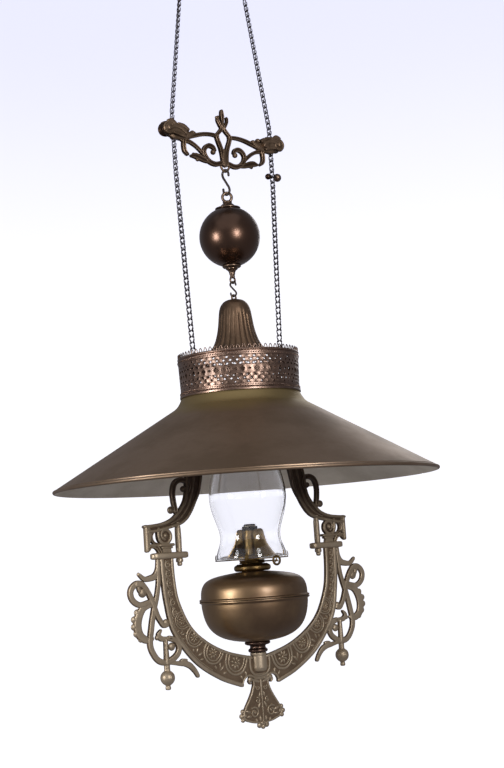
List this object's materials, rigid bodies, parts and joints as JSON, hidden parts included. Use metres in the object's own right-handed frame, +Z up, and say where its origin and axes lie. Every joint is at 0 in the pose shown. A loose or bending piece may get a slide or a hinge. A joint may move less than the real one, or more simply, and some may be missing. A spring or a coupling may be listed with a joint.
{
  "type": "hanging lamp",
  "caption": "Hanging oil lamp: conical metal shade with pierced crown, cast scrollwork harp, oil font, glass chimney, smoke bell and counterweight ball on a pulley yoke.",
  "frame": {"origin": "middle of the ceiling plate's upper face", "axes": "+Z up along the lamp's axis; the cast work and both chains lie in the XZ plane; -Y is the front, where the wick knob is"},
  "size_m": [0.4098, 0.4098, 0.8323],
  "materials": {
    "cast_brass": "aged cast",
    "yoke_brass": "aged cast, dark",
    "bronze": "dark satin",
    "ball_bronze": "dark polished",
    "bell_brass": "aged satin",
    "crown_brass": "coppery satin",
    "shade_brass": "aged satin",
    "font_brass": "satin",
    "burner_brass": "worn bright",
    "chain_steel": "dull",
    "hook_steel": "dark wire",
    "wick_cotton": "woven",
    "clear_glass": "clear"
  },
  "bodies": {
    "ceiling": {"ceiling_plate": "cast_brass", "ceiling_hook_left": "hook_steel", "ceiling_hook_right": "hook_steel"},
    "lamp": {"chain_left": "chain_steel", "chain_right": "chain_steel", "chain_stop": "bronze", "crown_gallery": "crown_brass", "shade": "shade_brass", "shade_ring": "cast_brass", "chain_eye_left": "hook_steel", "chain_eye_right": "hook_steel", "upper_arm_left": "cast_brass", "upper_arm_right": "cast_brass", "cross_bar_left": "cast_brass", "cross_bar_right": "cast_brass", "drop_rod_left": "cast_brass", "drop_rod_right": "cast_brass", "harp": "cast_brass", "side_scroll_left": "cast_brass", "side_scroll_right": "cast_brass", "side_finial_left": "cast_brass", "side_finial_right": "cast_brass", "font_socket": "cast_brass", "palmette_pendant": "cast_brass"},
    "yoke": {"pulley_yoke": "yoke_brass", "pulley_axle_left": "yoke_brass", "pulley_axle_right": "yoke_brass"},
    "wheel_left": {"pulley_wheel_left": "bronze"},
    "wheel_right": {"pulley_wheel_right": "bronze"},
    "ball": {"ball_hook": "hook_steel", "ball_cap": "bronze", "counterweight_ball": "ball_bronze", "ball_finial": "bronze"},
    "bell": {"bell_hook": "hook_steel", "smoke_bell": "bell_brass"},
    "font": {"font_lower_shell": "font_brass", "font_upper_shell": "font_brass", "font_stem": "font_brass", "font_collar": "font_brass", "burner_body": "burner_brass", "burner_gallery": "burner_brass", "wick_tube": "burner_brass", "flame_spreader": "burner_brass"},
    "wick": {"wick": "wick_cotton"},
    "knob": {"wick_knob": "burner_brass"},
    "chimney": {"chimney": "clear_glass"}
  },
  "joints": [
    {"name": "lamp_swing", "type": "hinge", "parent": "ceiling", "child": "lamp", "pos_m": [0, 0, -0.0232], "axis": [1, 0, 0], "range_deg": [-8, 8]},
    {"name": "yoke_slide", "type": "slide", "parent": "lamp", "child": "yoke", "axis": [0, 0, 1], "range_m": [-0.022, 0.012]},
    {"name": "wheel_left_turn", "type": "hinge", "parent": "yoke", "child": "wheel_left", "pos_m": [-0.075, 0, -0.197], "axis": [0, 1, 0], "range_deg": [-210, 116]},
    {"name": "wheel_right_turn", "type": "hinge", "parent": "yoke", "child": "wheel_right", "pos_m": [0.075, 0, -0.197], "axis": [0, 1, 0], "range_deg": [-116, 210]},
    {"name": "ball_swing", "type": "hinge", "parent": "yoke", "child": "ball", "pos_m": [0, 0, -0.2355], "axis": [1, 0, 0], "range_deg": [-5, 5]},
    {"name": "bell_swing", "type": "hinge", "parent": "ball", "child": "bell", "pos_m": [0, 0, -0.35928], "axis": [1, 0, 0], "range_deg": [-6, 6]},
    {"name": "font_lift", "type": "slide", "parent": "lamp", "child": "font", "axis": [0, 0, 1], "range_m": [0, 0.017]},
    {"name": "chimney_lift", "type": "slide", "parent": "font", "child": "chimney", "axis": [0, 0, 1], "range_m": [0, 0.01]},
    {"name": "knob_turn", "type": "hinge", "parent": "font", "child": "knob", "pos_m": [0, 0, -0.659], "axis": [0, 1, 0], "range_deg": [-96, 154]},
    {"name": "wick_rise", "type": "slide", "parent": "font", "child": "wick", "axis": [0, 0, 1], "range_m": [-0.005, 0.008]}
  ],
  "couplings": [
    {"joint": "wheel_left_turn", "follows": "yoke_slide", "rad_per_m": 163.93},
    {"joint": "wheel_right_turn", "follows": "yoke_slide", "rad_per_m": -163.93},
    {"joint": "knob_turn", "follows": "wick_rise", "rad_per_m": 333.33}
  ]
}
